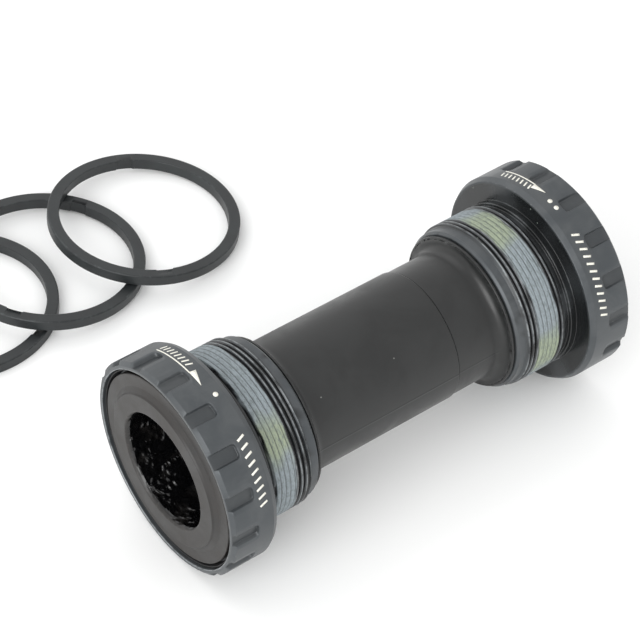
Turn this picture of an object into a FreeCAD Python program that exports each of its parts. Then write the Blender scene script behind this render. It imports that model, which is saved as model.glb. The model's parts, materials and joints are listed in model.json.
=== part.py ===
import FreeCAD, Part
import Sketcher
import os

# A threaded bottom bracket with outboard bearings, for a 24 mm spindle: two cups that screw into the
# bottom bracket shell of a bicycle frame, a bearing in each, a plastic sleeve between them and three
# shell spacers. The X axis is the axis of the shell and the spindle, +X towards the drive side, and
# +Z is up. The origin is on that axis, half way between the two flange faces that clamp the shell.
# Each side is drawn in a frame of its own: x = 0 at the outermost face, x growing towards the shell.

SIZES = [
    # name, millimetres (or a count, or degrees), meaning
    ("spindle_radius", 12, "radius of the crank spindle"),
    ("shell_width", 68, "width of the frame's shell"),
    ("spacer_thickness", 2.5, "thickness of one shell spacer"),
    ("spacers_fitted", 3, "spacers clamped between flanges and shell"),
    ("pocket_wall", 3.5, "wall of the flange outside the bearing"),
    ("floor_wall", 1.5, "wall between the bearing and the shell face"),
    ("rim_wall", 1.5, "wall of the rim round the bearing cover"),
    ("rim_bevel", 0.8, "bevel on the rim's outer edge, measured radially"),
    ("rim_bevel_length", 0.64, "the same bevel, measured along the axis"),
    ("face_bevel", 0.7, "bevel at the shell face, measured radially"),
    ("face_bevel_length", 1.2, "the same bevel, measured along the axis"),
    ("notch_count", 16, "tool notches round the flange"),
    ("notch_width", 2.9, "width of a tool notch"),
    ("notch_depth", 0.75, "depth of a tool notch"),
    ("notch_length", 5.6, "length of a tool notch from the rim"),
    ("notch_corner", 0.8, "corner radius at the notch's closed end"),
    ("notch_overrun", 1, "how far the notch's cut runs past the cup"),
    ("left_clock", 21.2, "degrees from the top to a notch of the left cup"),
    ("right_clock", 9.7, "degrees from the top to a notch of the right cup"),
    ("left_barrel", 13.3, "left cup, from shell face to inner end"),
    ("right_barrel", 14.35, "right cup, from shell face to inner end"),
    ("barrel_wall", 1.7, "wall of the barrel under the thread"),
    ("thread_pitch", 1.0583, "24 threads per inch"),
    ("thread_depth", 0.6, "depth of the thread"),
    ("thread_mouth", 0.85, "width of the thread's groove at its mouth"),
    ("thread_flat", 0.13, "width of the flat at the groove's root"),
    ("land_length", 1.4, "plain land between thread and shell face"),
    ("relief_length", 1.1, "groove where the thread runs out"),
    ("pilot_length", 2.0, "plain end of the barrel"),
    ("pilot_drop", 0.05, "plain end below the root of the thread"),
    ("pilot_bevel", 0.5, "bevel on the barrel's inner end"),
    ("bearing_section", 6, "radial size of the bearing, bore to outside"),
    ("bearing_width", 6, "width of the bearing"),
    ("bearing_depth", 3.0, "outermost face to the bearing"),
    ("ball_radius", 1.75, "radius of a ball"),
    ("ball_gap", 0.02, "clearance round a ball in its groove"),
    ("ball_count", 18, "balls in one bearing"),
    ("race_shoulder", 0.6, "depth of the groove in each race"),
    ("cage_wall", 1.5, "radial thickness of the ball cage"),
    ("cage_air", 0.3, "gap between the ball cage and a bearing seal"),
    ("cage_gap", 0.07, "clearance between ball and cage pocket"),
    ("shield_thickness", 0.4, "thickness of a bearing seal"),
    ("shield_inset", 0.1, "bearing face to its seal"),
    ("shield_gap", 0.1, "gap between seal lip and inner race"),
    ("cover_proud", 0.5, "cover standing out of the rim"),
    ("cover_wall", 0.5, "wall of the cover's tube round the spindle"),
    ("cover_ring", 4, "width of the cover's raised ring"),
    ("cover_step", 1.2, "width of the step outside the raised ring"),
    ("cover_face", 0.95, "outermost face to the cover's outer ring"),
    ("cover_gap", 0.5, "gap between cover and outer race"),
    ("cover_hub", 1.5, "width of the hub that meets the inner race"),
    ("cover_tail", 2.4, "cover's tube beyond the inner race"),
    ("dust_width", 0.75, "radial width of the dust seal"),
    ("dust_gap", 0.25, "gap between dust seal and cover"),
    ("floor_gap", 0.3, "gap between cover and the recess floor"),
    ("seal_offset", 0.5, "bearing to the grease seal"),
    ("seal_thickness", 1.5, "thickness of the grease seal"),
    ("seal_gap", 0.12, "gap between grease seal and cover tube"),
    ("sleeve_gap", 0.6, "clearance of the spindle in the sleeve"),
    ("sleeve_wall", 1.05, "wall of the sleeve's long tube"),
    ("tail_wall", 0.8, "wall of the sleeve's short tube"),
    ("tail_length", 17, "short tube, from its spigot's end to the joint"),
    ("joint_overlap", 8, "length of the joint between the tubes"),
    ("joint_wall", 0.5, "wall of the short tube inside the joint"),
    ("collar_cover", 1, "collar beyond the barrel's bore"),
    ("collar_length", 0.6, "length of a collar"),
    ("collar_gap", 0.3, "gap between collar and cup"),
    ("collar_fillet", 2.2, "fillet between collar and tube"),
    ("spigot_length", 5, "length of the spigot inside the cup"),
    ("spigot_wall", 2.25, "wall of the spigot"),
    ("spigot_gap", 0.25, "clearance of the spigot in the barrel"),
    ("spigot_bevel", 0.3, "bevel on the spigot's end"),
    ("ring_section", 0.65, "radius of the O-ring's section"),
    ("ring_gap", 0.05, "clearance of the O-ring in the barrel"),
    ("ring_offset", 2.2, "spigot's end to the middle of the O-ring"),
    ("ring_groove", 1.6, "width of the O-ring groove"),
    ("spacer_band", 2.5, "radial width of a shell spacer"),
    ("spacer_gap", 0.7, "clearance of a spacer round the thread"),
    ("spacer_notch_width", 3.4, "width of the notches in its bore"),
    ("spacer_notch_depth", 0.4, "depth of the notches in its bore"),
    ("spacer_place", -2, "x of the spacer on top"),
    ("spacer_step_top", 23.5, "from the middle spacer to the top one"),
    ("spacer_step_low", 20.75, "from the lowest spacer to the middle one"),
    ("spacer_air", 0.2, "air between spacers where they cross"),
    ("top_away", 74.5, "y of the top spacer"),
    ("middle_away", 75.9, "y of the middle spacer"),
    ("low_away", 77, "y of the lowest spacer"),
    ("top_turn", -21, "degrees that the top spacer's notches are turned"),
    ("middle_turn", -54, "degrees that the middle spacer's notches are turned"),
    ("low_turn", 28, "degrees that the lowest spacer's notches are turned"),
]

doc = FreeCAD.newDocument("BottomBracket")
sheet = doc.addObject("Spreadsheet::Sheet", "Sizes")
for row, (name, number, meaning) in enumerate(SIZES, start=1):
    sheet.set(f"A{row}", meaning)
    sheet.set(f"B{row}", str(number))
    sheet.setAlias(f"B{row}", name)
doc.recompute()


class Size:
    """A size as a number and as the formula over the sheet that gives it."""

    def __init__(self, number, formula):
        self.number = number
        self.formula = formula

    def __add__(self, other):
        other = as_size(other)
        return Size(self.number + other.number, f"({self.formula} + {other.formula})")

    def __sub__(self, other):
        other = as_size(other)
        return Size(self.number - other.number, f"({self.formula} - {other.formula})")

    def __mul__(self, other):
        other = as_size(other)
        return Size(self.number * other.number, f"({self.formula} * {other.formula})")

    def __truediv__(self, other):
        other = as_size(other)
        return Size(self.number / other.number, f"({self.formula} / {other.formula})")

    def __neg__(self):
        return as_size(0) - self


def as_size(value):
    """A plain number as a Size, and a Size as it is."""
    return value if isinstance(value, Size) else Size(float(value), repr(float(value)))


def size(name):
    """The Size that the sheet's cell of this name holds."""
    return Size(float(sheet.get(name)), f"Sizes.{name}")


def bind(thing, **places):
    """Bind properties to sizes, such as Length, or Placement_Base_x for a place inside one."""
    for place, value in places.items():
        path = place.replace("_", ".")
        thing.setExpression("." + path if "." in path else path, as_size(value).formula)


# ---------------------------------------------------------------- helpers for bodies and sketches


def new_body(name):
    """An empty body whose label is the name of its file."""
    body = doc.addObject("PartDesign::Body", name)
    body.Label = name
    return body


def origin_part(body, role):
    """One of the body's own origin planes or axes."""
    return next(part for part in body.Origin.OriginFeatures if part.Role == role)


def new_sketch(body, role, name):
    """A sketch on one of the body's origin planes."""
    sketch = body.newObject("Sketcher::SketchObject", f"{body.Name}_{name}")
    sketch.AttachmentSupport = [(origin_part(body, role), "")]
    sketch.MapMode = "FlatFace"
    return sketch


def hold(sketch, kind, geometry, point, value):
    """Tie a point's distance from the sketch's origin along one direction to a size."""
    index = sketch.addConstraint(Sketcher.Constraint(kind, -1, 1, geometry, point, value.number))
    sketch.setExpression(f"Constraints[{index}]", value.formula)


def draw_outline(sketch, points):
    """A closed outline of straight lines through points given as pairs of sizes."""
    points = [(as_size(a), as_size(b)) for a, b in points]
    spots = [FreeCAD.Vector(a.number, b.number, 0) for a, b in points]
    for spot, following in zip(spots, spots[1:] + spots[:1]):
        sketch.addGeometry(Part.LineSegment(spot, following), False)
    for line, (across, up) in enumerate(points):
        previous = (line - 1) % len(points)
        sketch.addConstraint(Sketcher.Constraint("Coincident", previous, 2, line, 1))
        hold(sketch, "DistanceX", line, 1, across)
        hold(sketch, "DistanceY", line, 1, up)


def draw_circle(sketch, across, up, radius):
    """A circle whose centre and radius are sizes."""
    centre = FreeCAD.Vector(across.number, up.number, 0)
    circle = sketch.addGeometry(Part.Circle(centre, FreeCAD.Vector(0, 0, 1), radius.number), False)
    hold(sketch, "DistanceX", circle, 3, across)
    hold(sketch, "DistanceY", circle, 3, up)
    index = sketch.addConstraint(Sketcher.Constraint("Radius", circle, radius.number))
    sketch.setExpression(f"Constraints[{index}]", radius.formula)


def turn(body, name, sketch, kind="PartDesign::Revolution"):
    """Turn a sketch in the X-Z plane once about the X axis, as material or as a groove."""
    feature = body.newObject(kind, f"{body.Name}_{name}")
    feature.Profile = sketch
    feature.ReferenceAxis = (sketch, ["H_Axis"])
    feature.Angle = 360
    body.Tip = feature
    return feature


def turned_body(name, points):
    """A body of revolution about the X axis with a straight-sided outline."""
    body = new_body(name)
    sketch = new_sketch(body, "XZ_Plane", "outline")
    draw_outline(sketch, points)
    turn(body, "turned", sketch)
    return body


def cut_round_groove(body, across, up, radius):
    """A groove of round section, as a ball runs in."""
    sketch = new_sketch(body, "XZ_Plane", "groove_outline")
    draw_circle(sketch, across, up, radius)
    turn(body, "groove", sketch, "PartDesign::Groove")


def repeat_about_axis(body, feature, count):
    """Repeat a cut evenly about the X axis."""
    pattern = body.newObject("PartDesign::PolarPattern", f"{body.Name}_pattern")
    pattern.Originals = [feature]
    pattern.Axis = (origin_part(body, "X_Axis"), [""])
    pattern.Angle = 360
    bind(pattern, Occurrences=count)
    body.Tip = pattern


# ---------------------------------------------------------------- radii, from the spindle outwards

bearing_bore = size("spindle_radius") + size("cover_wall")
bearing_outside = bearing_bore + size("bearing_section")
ball_circle = bearing_bore + size("bearing_section") / 2
groove_radius = size("ball_radius") + size("ball_gap")
inner_shoulder = ball_circle - size("ball_radius") + size("race_shoulder")
outer_shoulder = ball_circle + size("ball_radius") - size("race_shoulder")
flange_radius = bearing_outside + size("pocket_wall")
recess_radius = flange_radius - size("rim_wall")
cover_radius = recess_radius - size("dust_width") - size("dust_gap")
sleeve_bore = size("spindle_radius") + size("sleeve_gap")
sleeve_radius = sleeve_bore + size("sleeve_wall")
tail_radius = sleeve_bore + size("tail_wall")
joint_radius = sleeve_bore + size("joint_wall")
spigot_radius = sleeve_bore + size("spigot_wall")
barrel_bore = spigot_radius + size("spigot_gap")
collar_radius = barrel_bore + size("collar_cover")
ring_middle_radius = barrel_bore - size("ring_gap") - size("ring_section")
groove_floor = ring_middle_radius - size("ring_section")
thread_root = barrel_bore + size("barrel_wall")
thread_radius = thread_root + size("thread_depth")
pilot_radius = thread_root - size("pilot_drop")
spacer_bore = thread_radius + size("spacer_gap")
spacer_radius = spacer_bore + size("spacer_band")

# ---------------------------------------------------------------- places along one side

rim_plane = size("cover_proud")
bearing_face = size("bearing_depth")
bearing_end = bearing_face + size("bearing_width")
bearing_middle = bearing_face + size("bearing_width") / 2
shell_face = bearing_end + size("floor_wall")
recess_floor = bearing_face - size("cover_gap") + size("floor_gap")
cage_width = size("bearing_width") - (size("shield_inset") + size("shield_thickness") + size("cage_air")) * 2
face_gap = size("shell_width") + size("spacer_thickness") * size("spacers_fitted")
half_length = face_gap / 2 + shell_face


def place_on_side(part, side):
    """Put a piece drawn in a side's own frame on the left or the right end of the axis."""
    if side == "left":
        bind(part, Placement_Base_x=-half_length)
        return
    part.Placement = FreeCAD.Placement(FreeCAD.Vector(), FreeCAD.Rotation(FreeCAD.Vector(0, 0, 1), 180))
    bind(part, Placement_Base_x=half_length)


# ---------------------------------------------------------------- the cup


def cut_notches(body, clock):
    """Tool notches: slots open at the rim, with a flat floor and a round-cornered closed end. The
    first is drawn on a plane turned about the X axis to its place, and the rest repeat it."""
    sketch = new_sketch(body, "XY_Plane", "notch_outline")
    floor = flange_radius - size("notch_depth")
    turned = FreeCAD.Rotation(FreeCAD.Vector(1, 0, 0), clock.number)
    sketch.AttachmentOffset = FreeCAD.Placement(FreeCAD.Vector(), turned)
    sketch.setExpression(".AttachmentOffset.Rotation.Angle", f"{clock.formula} * 1 deg")
    sketch.setExpression(".AttachmentOffset.Base.y", f"-{floor.formula} * sin({clock.formula} * 1 deg)")
    sketch.setExpression(".AttachmentOffset.Base.z", f"{floor.formula} * cos({clock.formula} * 1 deg)")
    half = size("notch_width") / 2
    end = rim_plane + size("notch_length")
    corner = size("notch_corner")
    draw_outline(
        sketch,
        [
            (-size("notch_overrun"), -half),
            (end - corner, -half),
            (end - corner * 0.3, -half + corner * 0.3),
            (end, -half + corner),
            (end, half - corner),
            (end - corner * 0.3, half - corner * 0.3),
            (end - corner, half),
            (-size("notch_overrun"), half),
        ],
    )
    notch = body.newObject("PartDesign::Pocket", f"{body.Name}_notch")
    notch.Profile = sketch
    notch.Reversed = True
    bind(notch, Length=size("notch_depth") + size("notch_overrun"))
    body.Tip = notch
    repeat_about_axis(body, notch, size("notch_count"))


def cut_thread(body, barrel_end, left_handed):
    """The thread: a V groove wound from inside the relief groove to beyond the plain end."""
    start = shell_face + size("land_length") + size("relief_length") / 2
    half_mouth = size("thread_mouth") / 2
    half_flat = size("thread_flat") / 2
    # the cutter reaches a quarter of the depth above the crests, its sides widening in proportion
    above = thread_radius + size("thread_depth") / 4
    half_above = half_mouth + (half_mouth - half_flat) / 4
    sketch = new_sketch(body, "XZ_Plane", "thread_outline")
    draw_outline(
        sketch,
        [
            (start - half_above, above),
            (start - half_flat, thread_root),
            (start + half_flat, thread_root),
            (start + half_above, above),
        ],
    )
    thread = body.newObject("PartDesign::SubtractiveHelix", f"{body.Name}_thread")
    thread.Profile = sketch
    thread.ReferenceAxis = (sketch, ["H_Axis"])
    thread.Mode = "pitch-height-angle"
    thread.Angle = 0
    thread.LeftHanded = left_handed
    bind(thread, Pitch=size("thread_pitch"))
    bind(thread, Height=barrel_end - size("pilot_length") / 2 - start)
    body.Tip = thread


def make_cup(side, barrel):
    """A cup: flange with the bearing pocket, and the threaded barrel that enters the shell."""
    barrel_end = shell_face + barrel
    land_end = shell_face + size("land_length")
    relief_end = land_end + size("relief_length")
    pilot_start = barrel_end - size("pilot_length")
    flange = flange_radius
    body = turned_body(
        f"{side}_cup",
        [
            (rim_plane, recess_radius),
            (rim_plane, flange - size("rim_bevel")),
            (rim_plane + size("rim_bevel_length"), flange),
            (shell_face - size("face_bevel_length"), flange),
            (shell_face, flange - size("face_bevel")),
            (shell_face, thread_radius),
            (land_end, thread_radius),
            (land_end, pilot_radius),
            (relief_end, pilot_radius),
            (relief_end + size("thread_depth"), thread_radius),
            (pilot_start - size("thread_depth"), thread_radius),
            (pilot_start, pilot_radius),
            (barrel_end - size("pilot_bevel"), pilot_radius),
            (barrel_end, pilot_radius - size("pilot_bevel")),
            (barrel_end, barrel_bore),
            (bearing_end, barrel_bore),
            (bearing_end, bearing_outside),
            (recess_floor, bearing_outside),
            (recess_floor, recess_radius),
        ],
    )
    cut_thread(body, barrel_end, left_handed=side == "right")
    cut_notches(body, size(f"{side}_clock"))
    place_on_side(body, side)


# ---------------------------------------------------------------- the bearing


def make_race(side, name, inside, outside):
    """A bearing race with a round groove for the balls."""
    body = turned_body(
        f"{side}_bearing_{name}_race",
        [(bearing_face, inside), (bearing_face, outside), (bearing_end, outside), (bearing_end, inside)],
    )
    cut_round_groove(body, bearing_middle, ball_circle, groove_radius)
    place_on_side(body, side)


def make_cage(side):
    """The ring that keeps the balls apart, with one round pocket for each."""
    half = cage_width / 2
    inside = ball_circle - size("cage_wall") / 2
    outside = ball_circle + size("cage_wall") / 2
    body = turned_body(
        f"{side}_ball_cage",
        [
            (bearing_middle - half, inside),
            (bearing_middle - half, outside),
            (bearing_middle + half, outside),
            (bearing_middle + half, inside),
        ],
    )
    sketch = new_sketch(body, "XY_Plane", "pocket_outline")
    draw_circle(sketch, bearing_middle, as_size(0), size("ball_radius") + size("cage_gap"))
    pocket = body.newObject("PartDesign::Pocket", f"{body.Name}_pocket")
    pocket.Profile = sketch
    pocket.Reversed = True
    bind(pocket, Length=bearing_outside)
    body.Tip = pocket
    repeat_about_axis(body, pocket, size("ball_count"))
    place_on_side(body, side)


def make_balls(side):
    """The balls, as separate solids in one piece's file."""
    balls = []
    for number in range(int(size("ball_count").number)):
        ball = doc.addObject("Part::Sphere", f"{side}_ball_{number}")
        angle = f"({number} * 360 deg / Sizes.ball_count)"
        bind(ball, Radius=size("ball_radius"), Placement_Base_x=bearing_middle)
        ball.setExpression(".Placement.Base.y", f"{ball_circle.formula} * sin({angle})")
        ball.setExpression(".Placement.Base.z", f"{ball_circle.formula} * cos({angle})")
        balls.append(ball)
    group = doc.addObject("Part::Compound", f"{side}_bearing_balls")
    group.Label = f"{side}_bearing_balls"
    group.Links = balls
    place_on_side(group, side)


def make_bearing_seal(side, name, near_face):
    """A thin seal held by the outer race, its lip just clear of the inner race."""
    far_face = near_face + size("shield_thickness")
    inside = inner_shoulder + size("shield_gap")
    body = turned_body(
        f"{side}_bearing_{name}_seal",
        [(near_face, inside), (near_face, outer_shoulder), (far_face, outer_shoulder), (far_face, inside)],
    )
    place_on_side(body, side)


# ---------------------------------------------------------------- cover and seals


def make_cover(side):
    """The bearing cover: a plastic cap whose tube lines the inner race and takes the spindle."""
    back = bearing_face - size("cover_gap")
    soft = size("cover_proud") / 2
    ring = size("spindle_radius") + size("cover_ring")
    tail = bearing_end + size("cover_tail")
    body = turned_body(
        f"{side}_bearing_cover",
        [
            (soft, size("spindle_radius")),
            (0, size("spindle_radius") + soft),
            (0, ring - soft),
            (soft, ring),
            (size("cover_face"), ring + size("cover_step")),
            (size("cover_face"), cover_radius - soft),
            (size("cover_face") + soft, cover_radius),
            (back, cover_radius),
            (back, bearing_bore + size("cover_hub")),
            (bearing_face, bearing_bore + size("cover_hub")),
            (bearing_face, bearing_bore),
            (tail, bearing_bore),
            (tail, size("spindle_radius")),
        ],
    )
    place_on_side(body, side)


def make_dust_seal(side):
    """The rubber ring in the rim's recess, round the cover."""
    inside = cover_radius + size("dust_gap")
    lip = size("cover_face")
    body = turned_body(
        f"{side}_dust_seal",
        [(lip, inside), (lip, recess_radius), (recess_floor, recess_radius), (recess_floor, inside)],
    )
    place_on_side(body, side)


def make_grease_seal(side):
    """The rubber ring behind the bearing, in the barrel's bore."""
    near = bearing_end + size("seal_offset")
    far = near + size("seal_thickness")
    inside = bearing_bore + size("seal_gap")
    body = turned_body(
        f"{side}_grease_seal",
        [(near, inside), (near, barrel_bore), (far, barrel_bore), (far, inside)],
    )
    place_on_side(body, side)


# ---------------------------------------------------------------- the sleeve between the cups

left_spigot_end = -face_gap / 2 + size("left_barrel") - size("spigot_length")
right_spigot_end = face_gap / 2 - size("right_barrel") + size("spigot_length")
sleeve_joint = right_spigot_end - size("tail_length")


def sleeve_end_outline(tube_radius):
    """Half outline of one end of the sleeve, from the spigot's mouth to where the tube begins."""
    collar = size("spigot_length") + size("collar_gap")
    collar_end = collar + size("collar_length")
    groove = size("ring_offset") - size("ring_groove") / 2
    fillet = size("collar_fillet")
    return [
        (0, sleeve_bore),
        (0, spigot_radius - size("spigot_bevel")),
        (size("spigot_bevel"), spigot_radius),
        (groove, spigot_radius),
        (groove, groove_floor),
        (groove + size("ring_groove"), groove_floor),
        (groove + size("ring_groove"), spigot_radius),
        (collar, spigot_radius),
        (collar, collar_radius),
        (collar_end, collar_radius),
        (collar_end + fillet * 0.15, tube_radius + fillet * 0.62),
        (collar_end + fillet * 0.45, tube_radius + fillet * 0.22),
        (collar_end + fillet, tube_radius),
    ]


def make_sleeve():
    """The plastic sleeve: a long tube from the left cup, and a short one that plugs into it."""
    long_length = sleeve_joint - left_spigot_end
    long_tube = turned_body(
        "sleeve_long_tube",
        sleeve_end_outline(sleeve_radius)
        + [
            (long_length, sleeve_radius),
            (long_length, joint_radius),
            (long_length - size("joint_overlap"), joint_radius),
            (long_length - size("joint_overlap"), sleeve_bore),
        ],
    )
    bind(long_tube, Placement_Base_x=left_spigot_end)
    short_length = size("tail_length")
    short_tube = turned_body(
        "sleeve_short_tube",
        sleeve_end_outline(tail_radius)
        + [
            (short_length, tail_radius),
            (short_length, joint_radius),
            (short_length + size("joint_overlap"), joint_radius),
            (short_length + size("joint_overlap"), sleeve_bore),
        ],
    )
    half_turn = FreeCAD.Rotation(FreeCAD.Vector(0, 0, 1), 180)
    short_tube.Placement = FreeCAD.Placement(FreeCAD.Vector(), half_turn)
    bind(short_tube, Placement_Base_x=right_spigot_end)


def make_o_ring(side, middle):
    """The O-ring in the groove of one spigot."""
    ring = doc.addObject("Part::Torus", f"{side}_o_ring")
    ring.Label = f"{side}_o_ring"
    ring.Placement = FreeCAD.Placement(FreeCAD.Vector(), FreeCAD.Rotation(FreeCAD.Vector(0, 1, 0), 90))
    bind(ring, Radius1=ring_middle_radius, Radius2=size("ring_section"), Placement_Base_x=middle)


# ---------------------------------------------------------------- the loose shell spacers


def make_spacer(level, pivot, slope):
    """A shell spacer lying on the floor: pivot is the x where its edge rests, slope the tangent of
    its tilt. It is drawn with that edge at its own origin and its middle at x = -spacer_radius."""
    name = f"shell_spacer_{level}"
    body = new_body(name)
    sketch = new_sketch(body, "XY_Plane", "outline")
    draw_circle(sketch, -spacer_radius, as_size(0), spacer_radius)
    draw_circle(sketch, -spacer_radius, as_size(0), spacer_bore)
    pad = body.newObject("PartDesign::Pad", f"{name}_pad")
    pad.Profile = sketch
    bind(pad, Length=size("spacer_thickness"))
    body.Tip = pad
    half = size("spacer_notch_width") / 2
    reach = spacer_bore + size("spacer_notch_depth")
    notch_sketch = new_sketch(body, "XY_Plane", "notch_outline")
    bind(notch_sketch, AttachmentOffset_Base_x=-spacer_radius)
    notch_sketch.setExpression(".AttachmentOffset.Rotation.Angle", f"Sizes.{level}_turn * 1 deg")
    draw_outline(notch_sketch, [(-half, -reach), (half, -reach), (half, reach), (-half, reach)])
    notch = body.newObject("PartDesign::Pocket", f"{name}_notches")
    notch.Profile = notch_sketch
    notch.Reversed = True
    bind(notch, Length=size("spacer_thickness"))
    body.Tip = notch
    body.Placement = FreeCAD.Placement(FreeCAD.Vector(), FreeCAD.Rotation(FreeCAD.Vector(0, 1, 0), 1))
    bind(body, Placement_Base_x=pivot, Placement_Base_y=size(f"{level}_away"))
    bind(body, Placement_Base_z=-flange_radius)
    body.setExpression(".Placement.Rotation.Angle", f"atan({slope.formula})")


def crossing(step):
    """How far the crossing of two spacers, this far apart, is from the upper one's resting edge."""
    radial = spacer_radius * spacer_radius - spacer_bore * spacer_bore
    return step / 2 + spacer_radius - radial / (step * 2)


def make_spacers():
    """Three spacers in a cascade: the lowest flat, each of the others leaning on the one before."""
    step_top = size("spacer_step_top")
    step_low = size("spacer_step_low")
    top_edge = size("spacer_place") + spacer_radius
    stack = size("spacer_thickness") + size("spacer_air")
    lean = stack / crossing(step_low)
    # how high the middle spacer's underside stands where the top one crosses it
    rise = (crossing(step_top) - step_top) * lean
    make_spacer("low", top_edge - step_top - step_low, as_size(0))
    make_spacer("middle", top_edge - step_top, lean)
    make_spacer("top", top_edge, (stack + rise) / crossing(step_top))


# ---------------------------------------------------------------- the whole assembly

for side, barrel in (("left", size("left_barrel")), ("right", size("right_barrel"))):
    make_cup(side, barrel)
    make_race(side, "outer", outer_shoulder, bearing_outside)
    make_race(side, "inner", bearing_bore, inner_shoulder)
    make_cage(side)
    make_balls(side)
    make_bearing_seal(side, "outboard", bearing_face + size("shield_inset"))
    make_bearing_seal(side, "inboard", bearing_end - size("shield_inset") - size("shield_thickness"))
    make_cover(side)
    make_dust_seal(side)
    make_grease_seal(side)
make_sleeve()
make_o_ring("left", left_spigot_end + size("ring_offset"))
make_o_ring("right", right_spigot_end - size("ring_offset"))
make_spacers()
doc.recompute()

# ---------------------------------------------------------------- checks and export


def pieces():
    """The objects that are pieces of the assembly: every body, and the piece made without one."""
    for thing in doc.Objects:
        if thing.TypeId in ("PartDesign::Body", "Part::Torus", "Part::Compound"):
            yield thing


def check_document():
    """Stop if any object failed, or if a piece has no valid shape."""
    for thing in doc.Objects:
        if "Invalid" in thing.State or "Error" in thing.State:
            raise RuntimeError(f"{thing.Label} failed: {thing.State}")
    for piece in pieces():
        if piece.Shape.isNull() or not piece.Shape.isValid():
            raise RuntimeError(f"{piece.Label} has no valid shape")


def check_cuts():
    """Stop if a cut removed nothing."""
    for thing in doc.Objects:
        base = getattr(thing, "BaseFeature", None)
        if base is not None and thing.TypeId != "PartDesign::Body":
            if thing.Shape.Volume >= base.Shape.Volume - 1e-6:
                raise RuntimeError(f"{thing.Label} cut nothing")


check_document()
check_cuts()
os.makedirs("parts", exist_ok=True)
for piece in pieces():
    piece.Shape.exportStep(os.path.join("parts", f"{piece.Label}.step"))
    box = piece.Shape.BoundBox
    print(
        f"{piece.Label}: {piece.Shape.Volume:.1f} mm3, {len(piece.Shape.Solids)} solid(s),"
        f" x {box.XMin:.2f} to {box.XMax:.2f}, z {box.ZMin:.2f} to {box.ZMax:.2f}"
    )
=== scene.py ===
# %% [markdown]
# # A threaded bottom bracket and its spacers
# The object is the bearing unit that a bicycle's crank turns in: two aluminium cups that screw into
# the frame's shell, a plastic sleeve between them, and three loose spacers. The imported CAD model
# gives every place and every joint. This lesson makes the surfaces that a person sees around it:
# most are a profile turned about an axis, with notches, threads and smears worked out as formulas.

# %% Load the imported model
import json

import bpy
import numpy as np
from mathutils import Matrix, Vector


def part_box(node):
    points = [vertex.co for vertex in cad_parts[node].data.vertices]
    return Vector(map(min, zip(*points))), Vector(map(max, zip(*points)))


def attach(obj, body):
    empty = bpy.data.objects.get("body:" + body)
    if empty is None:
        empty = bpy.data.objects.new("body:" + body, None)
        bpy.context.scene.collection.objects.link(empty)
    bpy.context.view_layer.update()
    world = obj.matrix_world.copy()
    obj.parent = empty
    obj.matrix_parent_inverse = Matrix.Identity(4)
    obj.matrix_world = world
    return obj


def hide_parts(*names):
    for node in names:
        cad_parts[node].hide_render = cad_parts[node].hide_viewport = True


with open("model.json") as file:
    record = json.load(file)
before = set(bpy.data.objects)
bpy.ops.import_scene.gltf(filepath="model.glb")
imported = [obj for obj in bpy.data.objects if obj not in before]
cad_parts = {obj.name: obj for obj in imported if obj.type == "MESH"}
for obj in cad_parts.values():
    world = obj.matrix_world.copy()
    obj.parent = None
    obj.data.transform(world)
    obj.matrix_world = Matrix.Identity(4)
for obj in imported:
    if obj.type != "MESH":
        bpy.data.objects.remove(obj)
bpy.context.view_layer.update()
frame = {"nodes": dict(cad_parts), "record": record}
nodes = frame["nodes"]

# %% [markdown]
# ## Places and sizes
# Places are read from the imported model, so a change there moves the looks too. Everything is worked
# out in millimetres and turned into metres when a mesh is made. On each side a piece is drawn in
# the side's own frame: `u` runs inwards from the outermost face, and `sign` says which side it is.

# %% Places and sizes
MM = 0.001
SIDES = {"left": -1.0, "right": 1.0}
cup_body = {"left": "left_side_cup", "right": "drive_side_cup"}
cover_body = {"left": "left_side_cover", "right": "drive_side_cover"}
mounts = {mount["name"]: mount for mount in frame["record"]["mounts"]}
half_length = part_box("right_bearing_cover")[1].x / MM
spindle_radius = mounts["right_spindle_bore"]["dims"]["r_mm"]
thread_radius = mounts["right_shell_thread"]["dims"]["r_mm"]
shell_face = half_length - mounts["right_shell_face"]["pos_m"][0] / MM
floor_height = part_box("shell_spacer_low")[0].z / MM
barrel_end = {
    "left": half_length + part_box("left_cup")[1].x / MM,
    "right": half_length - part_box("right_cup")[0].x / MM,
}
flange_radius = 22.0
rim_plane = 0.5
recess_floor = 2.8
bearing_radius = 18.5
bearing_end = 9.0
barrel_bore = 15.1
print("half length", round(half_length, 2), "shell face at", round(shell_face, 2), "mm")

# %% [markdown]
# ## Meshes from grids
# A turned ring is a closed loop of profile points carried once round an axis, so its grid closes in
# both directions and has no seam and no poles. A strip of print is a four-cornered section carried
# along a short path, with a quad at each end. Building the mesh from arrays is quick, and the sign
# of the enclosed volume says whether the faces point outwards.

# %% Meshes from grids
def grid_quads(rows, columns, closed_rows=True):
    """Corner numbers of the quads between neighbouring grid points, the columns closed in a ring."""
    row = np.arange(rows if closed_rows else rows - 1)[:, None]
    column = np.arange(columns)[None, :]
    below, beside = (row + 1) % rows, (column + 1) % columns
    corners = [
        row * columns + column,
        row * columns + beside,
        below * columns + beside,
        below * columns + column,
    ]
    return np.stack(np.broadcast_arrays(*corners), axis=-1).reshape(-1, 4)


def outward(points, quads):
    """The quads, turned round if the volume they enclose comes out negative: the volume is a sixth
    of the sum of a . (b x c) over the triangles a, b, c."""
    volume = 0.0
    for triangle in (quads[:, [0, 1, 2]], quads[:, [0, 2, 3]]):
        a, b, c = (points[triangle[:, corner]] for corner in range(3))
        volume += np.einsum("ij,ij->", a, np.cross(b, c))
    return quads if volume > 0 else quads[:, ::-1]


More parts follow.
